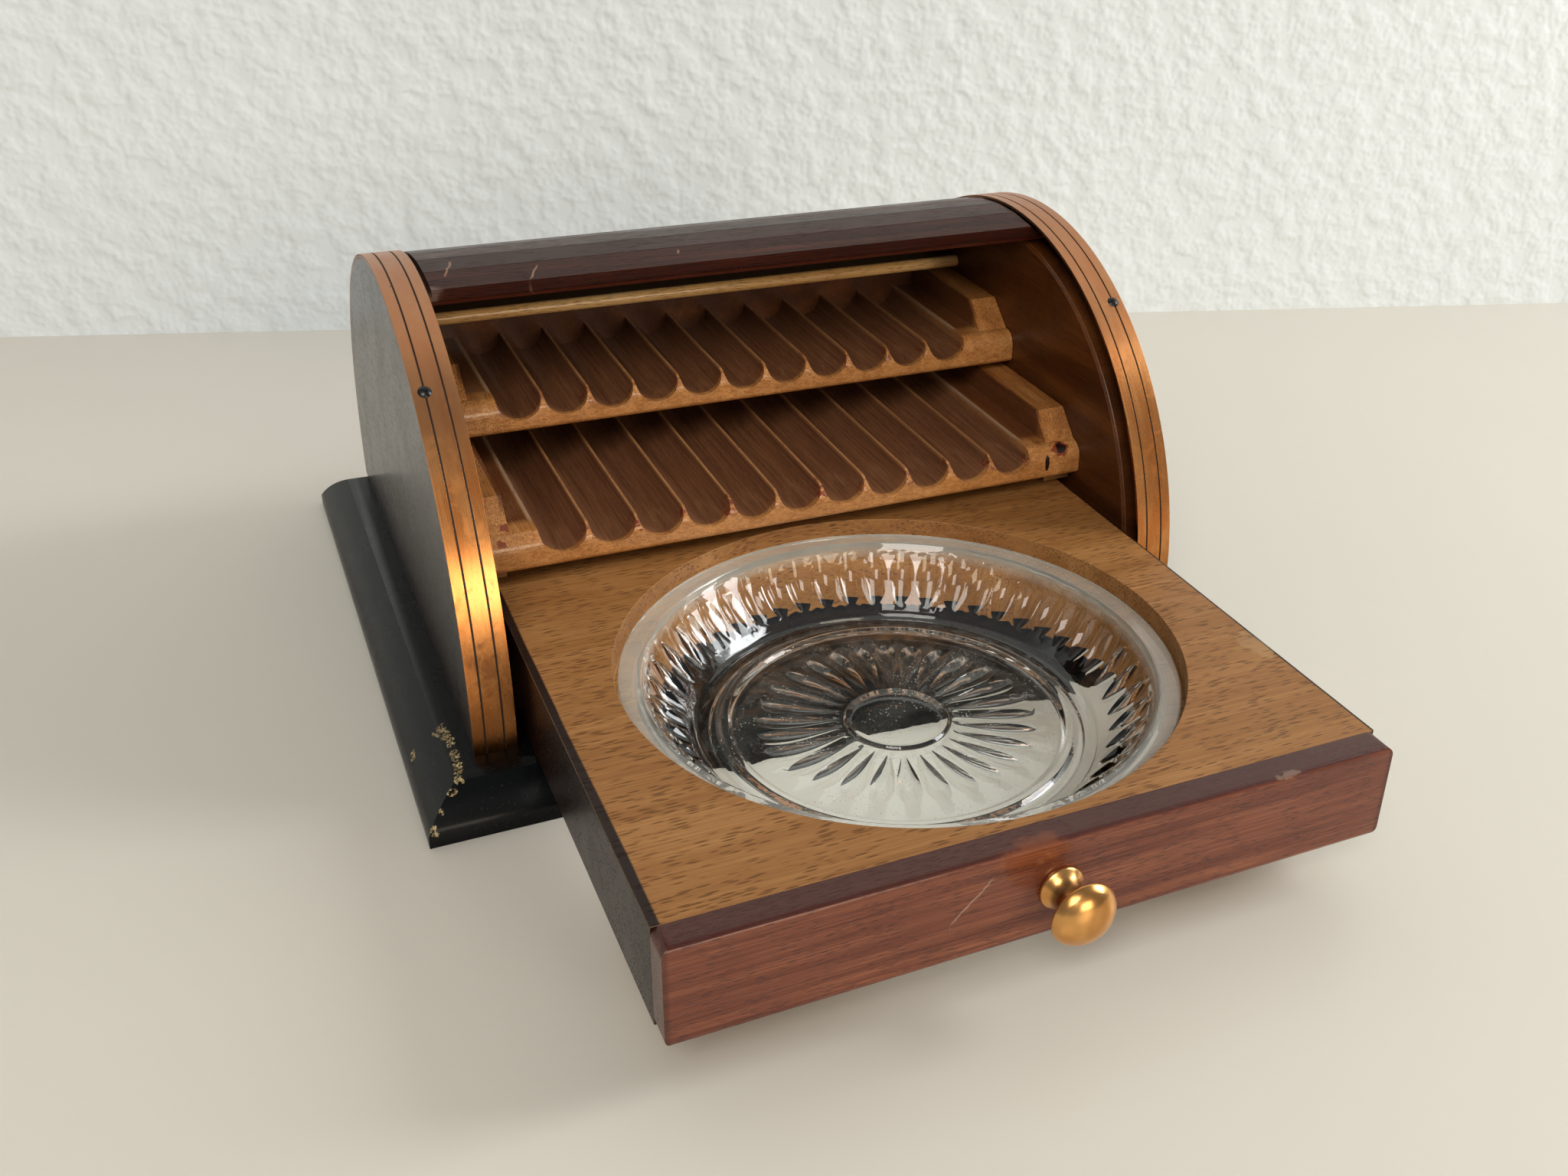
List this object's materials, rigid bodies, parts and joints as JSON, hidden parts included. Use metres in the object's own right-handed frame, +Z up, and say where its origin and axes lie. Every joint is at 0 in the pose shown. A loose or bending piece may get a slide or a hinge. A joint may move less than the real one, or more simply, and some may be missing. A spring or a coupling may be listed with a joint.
{
  "type": "cigarette dispenser",
  "caption": "Wooden roll-top cigarette box: a slatted tambour opens over grooved trays as a drawer with a glass ashtray slides out.",
  "frame": {"origin": "centre of the plinth's underside", "axes": "+X to the right across the width, the drawer opens towards -Y, +Z up"},
  "size_m": [0.1644, 0.2188, 0.0789],
  "materials": {
    "plinth": "black gloss lacquer",
    "brass_screw": "turned",
    "outer_wood": "polished dark mahogany",
    "inner_wood": "stained and varnished",
    "copper_strip": "lacquered copper-coloured brass",
    "black_steel": "blued",
    "hidden_wood": "plain",
    "tray_wood": "varnished beech, stained grooves",
    "top_wood": "stained, light front edge",
    "drawer_wood": "varnished beech",
    "front_wood": "polished mahogany",
    "dish_glass": "clear pressed glass",
    "knob_metal": "polished copper-coloured brass",
    "steel_screw": "plain",
    "tambour_wood": "polished dark mahogany",
    "lead_wood": "polished mahogany, worn edge",
    "canvas_cloth": "coarse cloth"
  },
  "bodies": {
    "case": {"plinth": "plinth", "base_screws": "brass_screw", "left_outer_board": "outer_wood", "right_outer_board": "outer_wood", "left_inner_board": "inner_wood", "right_inner_board": "inner_wood", "left_strip": "copper_strip", "right_strip": "copper_strip", "left_strip_nails": "black_steel", "right_strip_nails": "black_steel", "left_drawer_guide": "hidden_wood", "right_drawer_guide": "hidden_wood", "left_tray_bearer": "hidden_wood", "right_tray_bearer": "hidden_wood", "stop_pins": "hidden_wood", "lower_tray": "tray_wood", "upper_tray": "tray_wood", "tray_dowels": "hidden_wood", "back_board": "inner_wood", "top_board": "top_wood"},
    "drawer": {"drawer_board": "drawer_wood", "drawer_front": "front_wood", "glass_dish": "dish_glass", "knob": "knob_metal", "knob_screw": "steel_screw"},
    "tambour": {"lead_slat": "lead_wood", "slat_01": "tambour_wood", "slat_02": "tambour_wood", "slat_03": "tambour_wood", "slat_04": "tambour_wood", "slat_05": "tambour_wood", "slat_06": "tambour_wood", "slat_07": "tambour_wood", "slat_08": "tambour_wood", "slat_09": "tambour_wood", "slat_10": "tambour_wood", "slat_11": "tambour_wood", "slat_12": "tambour_wood", "slat_13": "tambour_wood", "slat_14": "tambour_wood", "canvas": "canvas_cloth"}
  },
  "joints": [
    {"name": "drawer_slide", "type": "slide", "parent": "case", "child": "drawer", "axis": [0, 1, 0], "range_m": [0, 0.07]},
    {"name": "tambour_turn", "type": "hinge", "parent": "case", "child": "tambour", "pos_m": [0, 0.0025, 0.0161], "axis": [1, 0, 0], "range_deg": [0, 67.8]}
  ],
  "couplings": [
    {"joint": "tambour_turn", "follows": "drawer_slide", "rad_per_m": 16.88}
  ]
}
